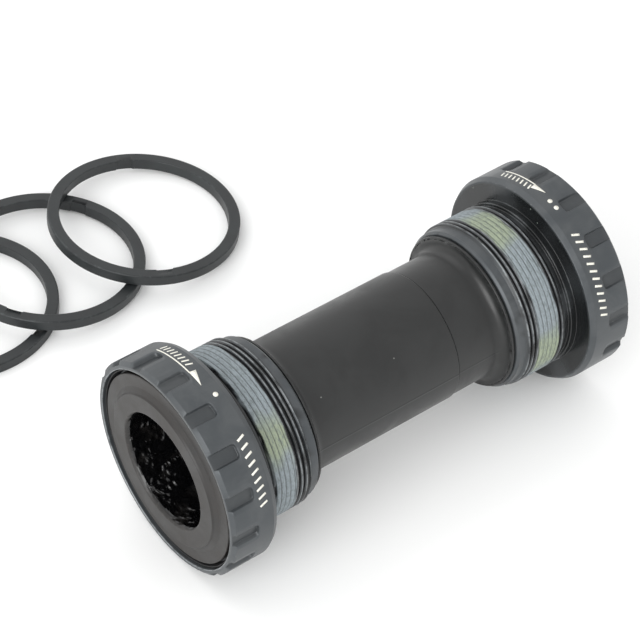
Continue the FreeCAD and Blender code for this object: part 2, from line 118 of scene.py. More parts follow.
def build_piece(name, shells, material, masks=None):
    """An object from closed shells, each a grid of points (mm) with its quads. Masks are values from
    0 to 1 at the points, kept as attributes that the material reads."""
    points = np.concatenate([grid.reshape(-1, 3) for grid, _ in shells])
    starts = np.cumsum([0] + [grid.size // 3 for grid, _ in shells[:-1]])
    quads = np.concatenate(
        [outward(grid.reshape(-1, 3), faces) + start for (grid, faces), start in zip(shells, starts)]
    )
    mesh = bpy.data.meshes.new(name)
    mesh.vertices.add(len(points))
    mesh.vertices.foreach_set("co", (points * MM).astype(np.float32).ravel())
    mesh.loops.add(quads.size)
    mesh.loops.foreach_set("vertex_index", quads.astype(np.int32).ravel())
    mesh.polygons.add(len(quads))
    mesh.polygons.foreach_set("loop_start", np.arange(0, quads.size, 4, dtype=np.int32))
    mesh.update(calc_edges=True)
    mesh.validate()
    mesh.shade_smooth()
    for mask, values in (masks or {}).items():
        layer = mesh.attributes.new(mask, "FLOAT", "POINT")
        layer.data.foreach_set("value", np.asarray(values, np.float32).ravel())
    mesh.materials.append(material)
    piece = bpy.data.objects.new(name, mesh)
    bpy.context.scene.collection.objects.link(piece)
    print(name, len(quads) * 2, "triangles")
    return piece


# %% [markdown]
# ## Profiles with real edges
# No machined or moulded edge is perfectly sharp: a small round catches the light and is what makes
# an edge readable. Each corner of a profile gets an arc tangent to its two sides, with one more
# point just outside the arc on each side, so that smooth shading stays inside the round.

# %% Profiles with real edges
def rounded_profile(corners, arc_points=4, support=0.12):
    """A closed profile from corners (u, r, round): each corner becomes an arc of that radius. The
    arc starts and ends at radius / tan(half the corner's angle) from the corner, and at most 0.42
    of the shorter side, or the share given as the corner's fourth number."""
    place = np.array([corner[:2] for corner in corners], float)
    path = []
    for spot, before, after, corner in zip(place, np.roll(place, 1, 0), np.roll(place, -1, 0), corners):
        back, ahead = before - spot, after - spot
        back_length, ahead_length = np.hypot(*back), np.hypot(*ahead)
        back, ahead = back / back_length, ahead / ahead_length
        half = np.arccos(np.clip(back @ ahead, -1, 1)) / 2
        limit = corner[3] if len(corner) > 3 else 0.42
        start = min(corner[2] / np.tan(half), limit * min(back_length, ahead_length))
        radius = start * np.tan(half)
        if radius < 1e-4:
            path.append(spot[None])
            continue
        bisector = (back + ahead) / np.hypot(*(back + ahead))
        centre = spot + bisector * radius / np.sin(half)
        swing = np.linspace(-1, 1, arc_points) * (np.pi / 2 - half)
        across = np.array([-bisector[1], bisector[0]])
        across *= np.sign(across @ ahead)
        arc = centre + radius * (np.outer(-np.cos(swing), bisector) + np.outer(np.sin(swing), across))
        room = [min(support, 0.3 * (length - start)) for length in (back_length, ahead_length)]
        path += [[spot + back * (start + room[0])], arc, [spot + ahead * (start + room[1])]]
    return np.concatenate(path)


def with_rows(profile, rows, lowest, highest):
    """The closed profile with more points: one at each u of rows where a side between the radii
    lowest and highest passes it."""
    path = []
    for here, there in zip(profile, np.roll(profile, -1, 0)):
        path.append(here[None])
        radii = sorted((here[1], there[1]))
        if radii[0] < lowest or radii[1] > highest or abs(there[0] - here[0]) < 1e-6:
            continue
        share = (rows - here[0]) / (there[0] - here[0])
        share = np.sort(share[(share > 0.02) & (share < 0.98)])
        path.append(here + share[:, None] * (there - here))
    return np.concatenate(path)


def edge_mask(profile):
    """How strongly the profile turns at each point, from 0 to 1: the largest angle between the sides
    that meet at it or at its two neighbours, where half a radian counts as 1."""
    step = np.roll(profile, -1, 0) - profile
    heading = np.arctan2(step[:, 1], step[:, 0])
    bend = np.abs((heading - np.roll(heading, 1) + np.pi) % (2 * np.pi) - np.pi)
    bend = np.maximum.reduce([bend, np.roll(bend, 1), np.roll(bend, -1)])
    return np.clip(bend / 0.5, 0, 1)


def turned(profile, angles, radius=None):
    """The grid of a profile turned about the X axis: a point at u, r and angle a, counted from the
    top towards -Y, stands at (u, -r sin a, r cos a)."""
    radius = profile[:, 1:2] if radius is None else radius
    angles = np.broadcast_to(angles, (len(profile), np.shape(angles)[-1]))
    radius = np.broadcast_to(radius, angles.shape)
    along = np.broadcast_to(profile[:, :1], angles.shape)
    return np.stack([along, -radius * np.sin(angles), radius * np.cos(angles)], axis=-1)


def on_side(grid, sign):
    """A grid drawn in a side's own frame, moved to its end of the axis: x = sign (half_length - u)."""
    placed = grid.copy()
    placed[..., 0] = sign * (half_length - grid[..., 0])
    return placed


def ring(name, grid, material, masks=None):
    """A turned ring as a piece."""
    return build_piece(name, [(grid, grid_quads(*grid.shape[:2]))], material, masks)


def even_angles(count):
    """Angles spread evenly once round."""
    return np.arange(count) * 2 * np.pi / count


def wander(angles, along, seed, waves=7, busiest=14, slant=1.6):
    """A smooth uneven field from about -1 to 1: a sum of sine waves, each with a whole number of
    waves round the axis and a slant along it, drawn from a seeded generator."""
    draw = np.random.default_rng(seed)
    total = 0.0
    for _ in range(waves):
        turns = draw.integers(1, busiest)
        lean, phase = draw.uniform(-slant, slant), draw.uniform(0, 6.28)
        total = total + np.sin(turns * angles + lean * along + phase)
    return total / np.sqrt(waves) / 1.4


square = rounded_profile([(0, 0, 0.2), (4, 0, 0.2), (4, 4, 0.2), (0, 4, 0.2)])
print("a rounded square takes", len(square), "points")

# %% [markdown]
# ## Shader helpers
# Each finish is a small network on object coordinates, which are the same metres as the mesh, so a
# pattern keeps its size on every piece. Effects that several finishes share are node groups that
# put out only masks and heights. The Principled shader stays in each material.

# %% Shader helpers
def add(tree, kind, inputs=None, **settings):
    """A node of this kind with its settings. An input that is a socket is linked, else it is set."""
    made = tree.nodes.new(kind)
    for key, value in settings.items():
        setattr(made, key, value)
    for key, value in (inputs or {}).items():
        if isinstance(value, bpy.types.NodeSocket):
            tree.links.new(value, made.inputs[key])
        else:
            made.inputs[key].default_value = value
    return made


def paint(red, green, blue):
    """A colour given as it looks on a screen, 0 to 255, as the linear values that shaders take."""
    shown = (red, green, blue)
    return (*[((c / 255 + 0.055) / 1.055) ** 2.4 if c > 10 else c / 3295 for c in shown], 1.0)


def mixed(tree, share, first, second):
    """First where share is 0 and second where it is 1, as a colour."""
    mix = add(tree, "ShaderNodeMix", {0: share, 6: first, 7: second}, data_type="RGBA")
    return mix.outputs[2]


def blended(tree, share, first, second):
    """First where share is 0 and second where it is 1, as a number."""
    return add(tree, "ShaderNodeMix", {0: share, 2: first, 3: second}).outputs[0]


def sums(tree, operation, first, second):
    """One step of arithmetic."""
    return add(tree, "ShaderNodeMath", {0: first, 1: second}, operation=operation).outputs[0]


def ramped(tree, value, low, high, out_low=0.0, out_high=1.0):
    """The value spread smoothly from low..high to out_low..out_high."""
    inputs = {0: value, 1: low, 2: high, 3: out_low, 4: out_high}
    return add(tree, "ShaderNodeMapRange", inputs, interpolation_type="SMOOTHSTEP").outputs[0]


def mask(tree, name):
    """A mask that the mesh carries as an attribute."""
    return add(tree, "ShaderNodeAttribute", attribute_name=name).outputs["Fac"]


def new_group(name, inputs, outputs):
    """An empty node group with number sockets of these names."""
    group = bpy.data.node_groups.new(name, "ShaderNodeTree")
    for sockets, way in ((inputs, "INPUT"), (outputs, "OUTPUT")):
        for socket in sockets:
            group.interface.new_socket(socket, in_out=way, socket_type="NodeSocketFloat")
    entry = group.nodes.new("NodeGroupInput")
    leave = group.nodes.new("NodeGroupOutput")
    return group, entry.outputs, leave.inputs


def place(tree, group, **values):
    """A node group placed in a material with its own values."""
    inputs = {key.replace("_", " "): value for key, value in values.items()}
    return add(tree, "ShaderNodeGroup", inputs, node_tree=group).outputs


def coordinates(tree):
    """Where a point of the surface is, in the mesh's own metres."""
    return add(tree, "ShaderNodeTexCoord").outputs["Object"]


def noise(tree, spot, scale, detail=2.0, roughness=0.5, warp=0.0):
    """Soft noise, with about scale features to the metre."""
    inputs = {"Vector": spot, "Scale": scale, "Detail": detail, "Roughness": roughness}
    inputs["Distortion"] = warp
    return add(tree, "ShaderNodeTexNoise", inputs).outputs["Fac"]


# %% [markdown]
# ## Shared effects
# *Fine grain* is the tiny unevenness of a blasted, moulded or ground skin. *Smudges* are the broad
# greasy and dusty patches that handling leaves, which change gloss more than colour. *Specks* are
# scattered dots of lint and dust: the cells of a Voronoi pattern, cut small and thinned by noise.
# *Worn and highlit edge* breaks an even edge mask up with noise, so that the paler edge, partly
# wear and partly painted highlight, is patchy.

# %% Shared effects
def make_grain():
    group, given, out = new_group("fine grain", ["Scale", "Smudge Scale"], ["Grain", "Smudge"])
    spot = coordinates(group)
    grain = noise(group, spot, given["Scale"], detail=3.0, roughness=0.6)
    smudge = noise(group, spot, given["Smudge Scale"], detail=4.0, roughness=0.62, warp=0.6)
    group.links.new(grain, out["Grain"])
    group.links.new(ramped(group, smudge, 0.32, 0.68), out["Smudge"])
    return group


def make_specks():
    group, given, out = new_group("specks", ["Scale", "Size", "Share"], ["Mask"])
    inputs = {"Vector": coordinates(group), "Scale": given["Scale"]}
    cells = add(group, "ShaderNodeTexVoronoi", inputs)
    small = sums(group, "LESS_THAN", cells.outputs["Distance"], given["Size"])
    chosen = sums(group, "LESS_THAN", cells.outputs["Color"], given["Share"])
    group.links.new(sums(group, "MULTIPLY", small, chosen), out["Mask"])
    return group


# painted highlight: the paler edge from this mask stands partly for wear and partly for light caught on
# rounded edges
def make_wear_and_highlight():
    group, given, out = new_group("rubbed edge", ["Edge", "Scale", "Amount"], ["Mask"])
    patches = noise(group, coordinates(group), given["Scale"], detail=4.0, roughness=0.65)
    reach = sums(group, "MULTIPLY", given["Edge"], given["Amount"])
    worn = sums(group, "SUBTRACT", sums(group, "ADD", reach, patches), 1.0)
    group.links.new(ramped(group, worn, 0.0, 0.3), out["Mask"])
    return group


grain_group, specks_group, wear_and_highlight_group = make_grain(), make_specks(), make_wear_and_highlight()


def new_finish(name, roughness, metallic=0.0):
    """A material with its Principled shader. Values that are the same all over are set on it."""
    material = bpy.data.materials.new(name)
    material.use_nodes = True
    tree = material.node_tree
    shader = next(node for node in tree.nodes if node.type == "BSDF_PRINCIPLED")
    shader.inputs["Roughness"].default_value = roughness
    shader.inputs["Metallic"].default_value = metallic
    return material, tree, shader


def relief(tree, shader, height, depth):
    """Bump from a height between 0 and 1 that stands depth millimetres high."""
    bump = add(tree, "ShaderNodeBump", {"Height": height, "Strength": 1.0, "Distance": depth * MM})
    tree.links.new(bump.outputs["Normal"], shader.inputs["Normal"])


print("shared effects:", [group.name for group in (grain_group, specks_group, wear_and_highlight_group)])

# %% [markdown]
# ## Anodised aluminium with threadlocker, grime and painted shade
# The cups are turned from aluminium, blasted and dyed a dark blue-grey. The dye wears to a paler
# grey on corners and on the crests of the bare thread, and that paler grey is also painted highlight.
# On the barrel there are two more things: a band of dried threadlocker that fills the thread, chalky
# grey and pale green where it lay thick, and black grease in the bare grooves, which is also painted
# shade there. The back of the flange and the notches are darkened with painted shade. The mesh
# carries a mask for each, so that one material serves the whole cup.

# %% Anodised aluminium
def anodised_cup():
    """Dyed aluminium, with a paler edge (wear and painted highlight), threadlocker, and grime with
    painted shade laid over it in that order.
    """
    bare_metal, grain_height, roughest = 0.35, 0.16, 0.05
    material, tree, shader = new_finish("anodised_aluminium", 0.42, bare_metal)
    skin = place(tree, grain_group, Scale=5200.0, Smudge_Scale=120.0)
    spot = coordinates(tree)
    colour = mixed(tree, skin["Smudge"], paint(66, 70, 73), paint(79, 82, 84))
    # paler grey on edges and thread crests: partly worn dye, partly painted highlight
    worn_and_highlit = place(tree, wear_and_highlight_group, Edge=mask(tree, "edge"), Scale=700.0, Amount=0.72)["Mask"]
    colour = mixed(tree, worn_and_highlit, colour, paint(128, 132, 134))

    chalk = mixed(tree, mask(tree, "green"), paint(138, 147, 152), paint(148, 158, 135))
    stretched = add(tree, "ShaderNodeMapping", {"Vector": spot, "Scale": (3.2, 1.0, 1.0)})
    streaks = noise(tree, stretched.outputs["Vector"], 900.0, detail=5.0, roughness=0.75)
    chalk = mixed(tree, ramped(tree, streaks, 0.42, 0.66, 0.0, 0.75), chalk, paint(100, 108, 108))
    locker = mask(tree, "locker")
    colour = mixed(tree, locker, colour, chalk)

    # black grease and dirt, with painted shade in the notches, the thread's grooves and under the
    # flange
    grime = mask(tree, "grime")
    colour = mixed(tree, grime, colour, paint(20, 22, 23))
    lint = place(tree, specks_group, Scale=900.0, Size=0.13, Share=0.12)["Mask"]
    lint = sums(tree, "MULTIPLY", lint, grime)
    colour = mixed(tree, sums(tree, "MULTIPLY", lint, 0.6), colour, paint(150, 160, 150))
    tree.links.new(colour, shader.inputs["Base Color"])

    gloss = blended(tree, skin["Smudge"], 0.36, 0.48)
    gloss = blended(tree, locker, gloss, 0.75)
    gloss = blended(tree, grime, gloss, 0.22)
    tree.links.new(gloss, shader.inputs["Roughness"])
    bare = sums(tree, "SUBTRACT", 1.0, sums(tree, "MAXIMUM", locker, grime))
    tree.links.new(sums(tree, "MULTIPLY", bare, bare_metal), shader.inputs["Metallic"])
    rough = sums(tree, "MULTIPLY", locker, streaks)
    fine = sums(tree, "MULTIPLY", skin["Grain"], grain_height)
    relief(tree, shader, sums(tree, "ADD", fine, rough), roughest)
    return material


cup_finish = anodised_cup()
print(cup_finish.name, len(cup_finish.node_tree.nodes), "nodes")

# %% [markdown]
# ## Moulded plastics, rubber and grease
# The bearing covers are a warm grey nylon that has picked up a brown film. Their bore is coated
# with black grease, which is wet and shows sharp highlights where it is lumpy. The sleeve is a black
# moulding with a soft sheen, scuffs and lint. The spacers are a harder black-green moulding. One
# function makes all the mouldings, because only their numbers differ.

# %% Mouldings
def moulding(name, dark, light, gloss, grain_depth, lint=0.0):
    """A moulded skin: two tones by smudges, paler edges that are partly wear and partly painted
    highlight, lint, and a fine even grain. Where the mesh says that grease lies, it is black,
    smooth and rippled. Depths are in millimetres."""
    ripple_depth = 0.8
    material, tree, shader = new_finish(name, gloss[0])
    skin = place(tree, grain_group, Scale=4200.0, Smudge_Scale=110.0)
    colour = mixed(tree, skin["Smudge"], dark, light)
    # paler edges: partly wear, partly painted highlight on the rounds
    worn_and_highlit = place(tree, wear_and_highlight_group, Edge=mask(tree, "edge"), Scale=800.0, Amount=0.7)["Mask"]
    pale = tuple(min(1.0, 2.0 * part + 0.02) for part in light[:3]) + (1.0,)
    colour = mixed(tree, sums(tree, "MULTIPLY", worn_and_highlit, 0.6), colour, pale)
    if lint:
        dots = place(tree, specks_group, Scale=420.0, Size=0.06, Share=lint)["Mask"]
        colour = mixed(tree, sums(tree, "MULTIPLY", dots, 0.5), colour, paint(150, 152, 148))
    wet = mask(tree, "grease")
    colour = mixed(tree, wet, colour, paint(9, 9, 10))
    tree.links.new(colour, shader.inputs["Base Color"])
    dull = blended(tree, skin["Smudge"], gloss[0], gloss[1])
    tree.links.new(blended(tree, wet, dull, 0.07), shader.inputs["Roughness"])
    spot = coordinates(tree)
    ripples = sums(tree, "MULTIPLY", noise(tree, spot, 240.0, detail=2.0, warp=1.4), ripple_depth)
    fine = sums(tree, "MULTIPLY", skin["Grain"], grain_depth)
    relief(tree, shader, blended(tree, wet, fine, ripples), 1.0)
    return material


mouldings = [
    moulding("warm_grey_nylon", paint(30, 29, 28), paint(41, 38, 36), (0.42, 0.56), 0.012),
    moulding("black_sleeve_plastic", paint(22, 23, 23), paint(31, 32, 32), (0.32, 0.46), 0.01, 0.1),
    moulding("spacer_plastic", paint(27, 30, 32), paint(38, 42, 43), (0.38, 0.5), 0.014),
    moulding("nitrile_rubber", paint(18, 18, 19), paint(27, 27, 28), (0.5, 0.68), 0.02, 0.05),
    moulding("cage_nylon", paint(176, 168, 148), paint(196, 190, 170), (0.42, 0.55), 0.012),
]
cover_finish, sleeve_finish, spacer_finish, rubber_finish, cage_finish = mouldings
print("mouldings:", [finish.name for finish in mouldings])

# %% [markdown]
# ## Bearing steel and print
# The races and balls are hidden behind the covers, but they are shown when the unit is taken apart,
# so they have a ground steel with faint turning marks and an oil film. The print is pad-printed
# cream ink, thin and a little broken.

# %% Steel and print
def bearing_steel(name, tone, roughness, marks):
    """Ground steel: fine rings round the axis from a wave pattern along X, under a film of oil that
    darkens it and takes off some of its shine."""
    dulled = roughness + 0.12
    material, tree, shader = new_finish(name, roughness, 1.0)
    skin = place(tree, grain_group, Scale=3000.0, Smudge_Scale=200.0)
    spot = coordinates(tree)
    inputs = {"Vector": spot, "Scale": 4000.0, "Distortion": 1.5, "Detail": 2.0}
    rings = add(tree, "ShaderNodeTexWave", inputs, bands_direction="X").outputs["Fac"]
    oily = tuple(0.8 * part for part in tone[:3]) + (1.0,)
    tree.links.new(mixed(tree, skin["Smudge"], tone, oily), shader.inputs["Base Color"])
    tree.links.new(blended(tree, skin["Smudge"], roughness, dulled), shader.inputs["Roughness"])
    relief(tree, shader, sums(tree, "MULTIPLY", rings, marks), 0.004)
    return material


def cream_print():
    """Cream ink, worn through in places to the dark cup."""
    material, tree, shader = new_finish("cream_print", 0.55)
    spot = coordinates(tree)
    worn = ramped(tree, noise(tree, spot, 2600.0, detail=3.0, roughness=0.7), 0.56, 0.74, 0.0, 0.6)
    tone = mixed(tree, noise(tree, spot, 500.0), paint(226, 224, 212), paint(238, 236, 226))
    tree.links.new(mixed(tree, worn, tone, paint(96, 98, 96)), shader.inputs["Base Color"])
    relief(tree, shader, noise(tree, spot, 5000.0), 0.006)
    return material


race_finish = bearing_steel("race_steel", paint(190, 191, 194), 0.24, 1.0)
ball_finish = bearing_steel("ball_steel", paint(208, 209, 212), 0.08, 0.1)
print_finish = cream_print()
print("steel and print:", race_finish.name, ball_finish.name, print_finish.name)

# %% [markdown]
# ## The cups
# A cup is one turned piece, but two things break its roundness. Sixteen tool notches are milled
# into the flange from the rim, each with a flat floor and a round-cornered end. The thread winds
# round the barrel, right-handed on the left cup and left-handed on the right one. Cutting these
# with booleans leaves long thin triangles, so here the grid itself follows them: its columns close
# in as the notch's end rounds off, and its rows are a tenth of the thread's pitch apart.

# %% Sizes of the cups
rim_bevel, rim_bevel_length = 0.8, 0.64
back_bevel, back_bevel_length = 0.65, 1.1
notch_count = 16
notch_half_width = 1.45
notch_depth = 0.75
notch_end = rim_plane + 5.6
notch_corner = 0.8
notch_wall = 0.13
first_notch = {"left": np.radians(21.2), "right": np.radians(12.8)}
thread_pitch = 25.4 / 24
thread_depth = 0.6
land_end = shell_face + 1.4
relief_end = land_end + 1.1
pilot_length = 2.0
recess_radius = 20.5
locker_band = {"left": (2.7, 7.7), "right": (4.4, 9.6)}
green_patches = {
    "left": [(51.0, 19.0), (205.0, 30.0)],
    "right": [(-8.0, 24.0), (96.0, 22.0), (230.0, 26.0)],
}
print("thread pitch", round(thread_pitch, 3), "mm, notch pitch", 360 / notch_count, "degrees")

# %% [markdown]
# A notch's end wall turns a quarter circle into its sides. The columns beside it therefore move in
# towards its middle as the end comes near, and those of the flange share out what is left.

# %% The notch grid
def notch_columns(rows):
    """Angles of the cup's columns at each row u, and how far the notch's wall has fallen at each
    column, from 0 on the flange to 1 on the floor. A column stands at a + b times the notch's half
    width. The half width is constant, then follows a quarter circle to the notch's end: half =
    w - c + sqrt(c^2 - (u - end + c)^2)."""
    into_corner = np.clip((rows - notch_end + notch_corner) / notch_corner, 0, 1)
    half = notch_half_width - notch_corner + notch_corner * np.sqrt(1 - into_corner**2)
    pitch = 2 * np.pi * flange_radius / notch_count
    floor, land, wall = np.linspace(-1, 1, 7), np.arange(1, 5) / 5, np.array([-1, 1, 3]) / 3
    offset = [-floor, wall, 1 + land * (pitch / notch_wall - 2), pitch / notch_wall - wall[::-1]]
    share = [floor, np.ones(3), 1 - 2 * land, -np.ones(3)]
    fallen = np.concatenate([np.ones(7), [0.86, 0.14, 0.0], np.zeros(4), [0.0, 0.14, 0.86]])
    across = np.concatenate(offset) * notch_wall + np.concatenate(share) * half[:, None]
    start = np.arange(notch_count)[:, None] * pitch
    across = (start[None] + across[:, None, :]).reshape(len(rows), -1)
    return across / flange_radius, np.tile(fallen, notch_count)


def notch_fall(rows):
    """How far the notch's end wall has fallen at each row: 1 along the notch and 0 beyond it."""
    return np.interp((rows - notch_end) / notch_wall, [-1, -1 / 3, 1 / 3, 1], [1, 0.86, 0.14, 0])


notch_rows = np.concatenate([
    rim_plane + np.array([0.9, 1.9, 2.9, 3.7]),
    notch_end - notch_corner * np.array([1, 0.8, 0.6, 0.42, 0.27]),
    notch_end + notch_wall * np.array([-1, -1 / 3, 1 / 3, 1, 2.5]),
    notch_end + np.array([1.2, 2.4, 3.4]),
])
print("columns round a cup:", notch_columns(notch_rows)[0].shape[1])

# %% [markdown]
# The thread is a groove whose depth depends on `u / pitch - angle / one turn`: on the left cup that
# winds right-handed and, because `u` runs the other way there, on the right cup left-handed. The
# dried threadlocker fills most of the groove between two wavering edges and leaves a thin line.

# %% The cup
def groove_share(angles, rows):
    """How deep the thread's groove is, from 0 at the crest to 1 at the root, and the distance from
    the groove's middle, from 0 to 1 at the crest's middle."""
    phase = rows / thread_pitch - angles / (2 * np.pi)
    away = np.abs((phase % 1.0) - 0.5) * 2
    return np.clip(1.12 * (1 - away / 0.74), 0, 1), away


def locker_share(side, angles, rows, seed):
    """1 inside the band of threadlocker and 0 outside, with edges that waver by a third of a mm."""
    low, high = (shell_face + edge for edge in locker_band[side])
    near = low + 0.28 * wander(angles, 0 * rows, seed, busiest=22)
    far = high + 0.22 * wander(angles, 0 * rows, seed + 1, busiest=22)
    return np.clip((rows - near) / 0.18, 0, 1) * np.clip((far - rows) / 0.18, 0, 1)


def green_share(side, angles, rows, seed):
    """1 where the threadlocker lay thick and dried green, 0 where it is thin and grey. A patch is
    given by its middle and half its width in degrees; its ends waver and fade over 12 degrees."""
    share = 0.0
    for middle, half in green_patches[side]:
        away = np.degrees(np.abs((angles - np.radians(middle) + np.pi) % (2 * np.pi) - np.pi))
        ragged = half + 5 * wander(angles, 1.2 * rows, seed, busiest=30)
        share = np.maximum(share, np.clip((ragged - away) / 12, 0, 1))
    return share


def cup(side, seed):
    """A cup. On the barrel the radius is r - depth x groove, less where the locker fills it; on the
    flange it is r - (r - floor) x fall, which brings every row above the notch's floor down to it."""
    end = barrel_end[side]
    pilot = end - pilot_length
    root = thread_radius - thread_depth
    plain = root - 0.05
    outside = flange_radius - 0.015
    profile = rounded_profile([
        (rim_plane, recess_radius, 0.15),
        (rim_plane, outside - rim_bevel, 0.12),
        (rim_plane + rim_bevel_length, outside, 0.18),
        (shell_face - back_bevel_length, outside, 0.3),
        (shell_face, outside - back_bevel, 0.15),
        # two plain points across the flange's back, where the painted shade under the flange begins
        # softly
        (shell_face, outside - 1.2, 0),
        (shell_face, outside - 2.2, 0),
        (shell_face, thread_radius, 0.1),
        (land_end, thread_radius, 0.18),
        (land_end + 0.1, plain, 0.1),
        (relief_end, plain, 0.12),
        (relief_end + 0.5, thread_radius, 0.1),
        (pilot - 0.5, thread_radius, 0.1),
        (pilot, plain, 0.12),
        (end - 0.45, plain, 0.12),
        (end, root - 0.5, 0.12),
        (end, barrel_bore, 0.15),
        (bearing_end, barrel_bore, 0.05),
        (bearing_end, bearing_radius, 0.05),
        (recess_floor, bearing_radius, 0.05),
        (recess_floor, recess_radius, 0.05),
    ])
    profile = with_rows(profile, notch_rows, outside - 0.1, flange_radius)
    thread_rows = np.arange(relief_end + 0.3, pilot - 0.2, thread_pitch / 10)
    profile = with_rows(profile, thread_rows, thread_radius - 0.4, thread_radius + 0.6)
    rows, radii = profile[:, :1], profile[:, 1:]
    angles, fallen = notch_columns(profile[:, 0])
    angles = angles + first_notch[side]
    floor = outside - notch_depth
    fall = notch_fall(rows) * fallen * (radii > floor)
    radii = radii - np.maximum(radii - floor, 0) * fall

    skin = radii > barrel_bore + 0.9
    barrel = skin & (rows > land_end + 0.3)
    starts = np.clip((rows - land_end - 0.5) / 0.6, 0, 1)
    threaded = starts * np.clip((pilot + 0.1 - rows) / 0.4, 0, 1) * barrel
    locker = locker_share(side, angles, rows, seed) * barrel
    groove, away = groove_share(angles, rows)
    thin_line = np.clip(1 - away / 0.3, 0, 1)
    filled = 0.34 * thin_line + 0.03 * wander(angles, 6 * rows, seed + 2, busiest=60)
    depth = threaded * thread_depth * ((1 - locker) * groove + locker * filled)
    radii = np.where(threaded > 0, np.minimum(radii, thread_radius - depth), radii)

    beside_wall = (np.abs(np.roll(fallen, 1) - np.roll(fallen, -1)) > 0.1) * (fallen < 0.3)
    wall_edges = notch_fall(rows) * beside_wall * (radii > floor)
    edge = np.maximum(edge_mask(profile)[:, None] * (1 - 0.7 * fall), 0.55 * wall_edges)
    # painted highlight: the bare thread's crests are made paler, partly wear and partly the light on
    # them
    crest_wear_and_highlight = threaded * (1 - locker) * np.clip(1 - groove / 0.2, 0, 1)
    edge = np.maximum(edge * (1 - threaded), crest_wear_and_highlight)
    wet = np.clip(wander(angles, 2.0 * rows, seed + 3) * 1.6 - 0.35, 0, 1)
    # the bare grooves and the thin lines left in the locker band are darkened: grease, and painted
    # shade in the grooves
    bare = np.clip((groove - 0.12) / 0.25, 0, 1)
    lines = np.clip(thin_line * 1.6 - 0.5, 0, 1)
    grime = threaded * ((1 - locker) * np.maximum(bare, wet) + 0.85 * locker * lines)
    # painted shade: the flange's back face and the land beside it are darkened almost to black
    under_flange_shade = np.clip((rows - shell_face + 0.3) / 0.3, 0, 1)
    under_flange_shade = under_flange_shade * np.clip((land_end + 1.6 - rows) / 0.8, 0, 1)
    under_flange_shade = under_flange_shade * np.clip((outside - 0.7 - radii) / 0.5, 0, 1) * skin
    shade_unevenness = np.clip(0.95 + 0.35 * wander(angles, 0.8 * rows, seed + 5), 0, 1)
    grime = np.maximum(grime, under_flange_shade * shade_unevenness)
    # painted shade: the notches' floors and walls are darkened
    grime = np.maximum(grime, 0.32 * fall * (radii < outside - 0.3))
    handled = np.clip(wander(angles, 2.6 * rows, seed + 6, busiest=30) * 1.5 - 0.6, 0, 1)
    grime = np.maximum(grime, 0.8 * handled * barrel * (rows > pilot - 1.5))
    green = green_share(side, angles, rows, seed + 7)
    masks = {"edge": edge, "locker": locker, "grime": grime, "green": green}
    masks = {name: np.broadcast_to(values, angles.shape) for name, values in masks.items()}
    grid = on_side(turned(profile, angles, radii), SIDES[side])
    return ring(f"{side}_cup_body", grid, cup_finish, masks)


for side, seed in (("left", 11), ("right", 23)):
    piece = cup(side, seed)
    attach(piece, cup_body[side])
    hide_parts(f"{side}_cup")

# %% [markdown]
# ## The bearing covers
# Each cover is a moulded nylon cap pressed into the bearing: a raised ring round the bore, a cove
# down to a flat face, and a tube that lines the inner race. The bore is smeared with assembly
# grease, so its radius wanders inwards by up to a quarter of a millimetre. Rows a third of a
# millimetre apart let the grease stand up in soft lumps that catch the light.

# %% The bearing covers
def bearing_cover(side, seed):
    """A cover. In the bore the radius is r - 0.03 - 0.2 x lumps, where lumps is the positive part of
    a coarse and a fine wandering field; the same fields say where the grease is."""
    cover_end, tube_radius = 11.4, 12.5
    profile = rounded_profile([
        (0.0, spindle_radius, 0.35),
        (0.0, 15.75, 0.12),
        (0.35, 16.0, 0.2),
        (0.95, 17.0, 0.5),
        (0.95, 19.5, 0.25),
        (2.5, 19.5, 0.15),
        (2.5, 14.0, 0.1),
        (3.0, 14.0, 0.1),
        (3.0, tube_radius, 0.05),
        (cover_end, tube_radius, 0.15),
        (cover_end, spindle_radius, 0.15),
    ], arc_points=5)
    profile = with_rows(profile, np.arange(0.6, cover_end - 0.3, 0.35), 0.0, spindle_radius + 0.1)
    angles = even_angles(256)[None, :]
    rows, radii = profile[:, :1], profile[:, 1:]
    in_bore = np.clip((spindle_radius + 0.2 - radii) / 0.15, 0, 1) * np.clip((rows - 0.25) / 0.6, 0, 1)
    coarse = wander(angles, 0.9 * rows, seed, waves=9, busiest=12)
    fine = wander(angles, 3.2 * rows, seed + 1, waves=11, busiest=46)
    lumps = np.clip(0.35 + 0.55 * coarse + 0.45 * fine, 0, 1.2)
    radii = radii - in_bore * (0.03 + 0.2 * lumps)
    grease = in_bore * np.clip(1.1 + 0.6 * coarse + 0.3 * fine, 0, 1)
    edge = np.broadcast_to(edge_mask(profile)[:, None], grease.shape) * (1 - in_bore)
    grid = on_side(turned(profile, angles, radii), SIDES[side])
    return ring(f"{side}_cover_cap", grid, cover_finish, {"edge": edge, "grease": grease})


for side, seed in (("left", 5), ("right", 31)):
    piece = bearing_cover(side, seed)
    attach(piece, cover_body[side])
    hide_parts(f"{side}_bearing_cover")

# %% [markdown]
# ## Rubber rings
# Three kinds of rubber ring keep dirt out and grease in: the dust seal in the rim's recess, with a
# thin lip towards the cover; the grease seal behind the bearing; and an O-ring in a groove of each
# end of the sleeve. All are small turned profiles with generous rounds, as rubber is moulded.

# %% Rubber rings
def rubber_ring(name, side, corners, body, node):
    """A rubber ring from the corners of its profile in the side's own frame."""
    profile = rounded_profile(corners, arc_points=5)
    grid = on_side(turned(profile, even_angles(192)[None, :]), SIDES[side])
    piece = ring(name, grid, rubber_finish)
    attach(piece, body)
    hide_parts(node)


